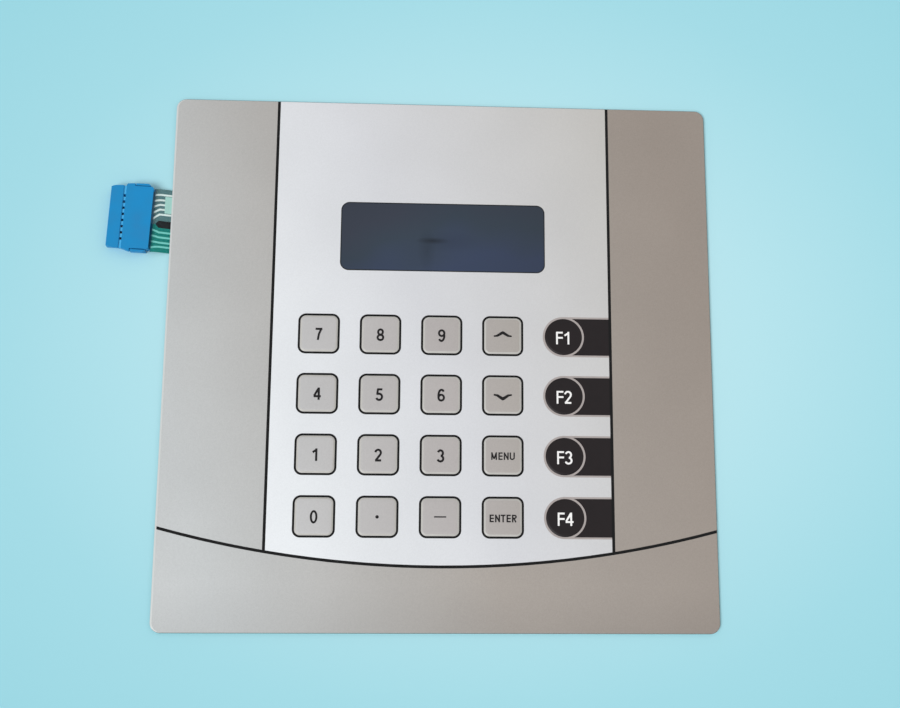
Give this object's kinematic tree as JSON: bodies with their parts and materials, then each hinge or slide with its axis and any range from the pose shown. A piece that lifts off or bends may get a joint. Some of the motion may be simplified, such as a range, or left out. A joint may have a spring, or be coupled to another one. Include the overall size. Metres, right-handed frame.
{
  "type": "membrane keypad",
  "caption": "Flat membrane keypad: a printed film face with embossed number and function keys and a tinted display window, and a flat printed tail crimped into a blue socket connector.",
  "frame": {"origin": "centre of the panel's rear face, at the back of the release liner", "axes": "+Z out of the printed face towards the user, +Y to the panel's top edge, +X to the right; the tail leaves at the left, towards -X"},
  "size_m": [0.2485, 0.222, 0.0046],
  "materials": {
    "film_face": "satin",
    "ink_white_silver": "satin",
    "ink_silver": "satin metallic look",
    "ink_black": "satin",
    "ink_charcoal": "satin",
    "ink_ring": "satin",
    "ink_key": "satin",
    "ink_white": "satin",
    "window_tint": "gloss",
    "window_border": "gloss",
    "adhesive": "tacky",
    "film_clear": "gloss",
    "conductor": "printed silver ink",
    "coat_dark": "satin",
    "coat_green": "gloss",
    "patch_mint": "satin",
    "spacer_film": "satin",
    "strip_black": "matte",
    "liner": "waxed paper",
    "connector_blue": "moulded nylon",
    "contact_metal": "tinned"
  },
  "bodies": {
    "root": {"overlay_film": "film_face", "field_centre": "ink_white_silver", "field_left": "ink_silver", "field_right": "ink_silver", "field_lower": "ink_silver", "divider_lines": "ink_black", "key_outlines": "ink_black", "f_surrounds": "ink_ring", "f_blocks": "ink_charcoal", "window_tint": "window_tint", "window_border": "window_border", "legends_black": "ink_black", "legends_white": "ink_white", "key_7": "ink_key", "key_8": "ink_key", "key_9": "ink_key", "key_up": "ink_key", "key_4": "ink_key", "key_5": "ink_key", "key_6": "ink_key", "key_down": "ink_key", "key_1": "ink_key", "key_2": "ink_key", "key_3": "ink_key", "key_menu": "ink_key", "key_0": "ink_key", "key_dot": "ink_key", "key_minus": "ink_key", "key_enter": "ink_key", "key_f1": "ink_charcoal", "key_f2": "ink_charcoal", "key_f3": "ink_charcoal", "key_f4": "ink_charcoal", "overlay_adhesive": "adhesive", "upper_circuit": "film_clear", "column_1": "conductor", "column_2": "conductor", "column_3": "conductor", "column_4": "conductor", "column_5": "conductor", "upper_coat": "coat_dark", "tail_patch": "patch_mint", "spacer": "spacer_film", "lower_circuit": "film_clear", "row_1": "conductor", "row_2": "conductor", "row_3": "conductor", "row_4": "conductor", "lower_coat": "coat_green", "slot_strip": "strip_black", "rear_adhesive": "adhesive", "liner_top": "liner", "liner_bottom": "liner", "liner_left": "liner", "liner_right": "liner", "connector_housing": "connector_blue", "connector_cover": "connector_blue", "contacts": "contact_metal"}
  },
  "joints": []
}
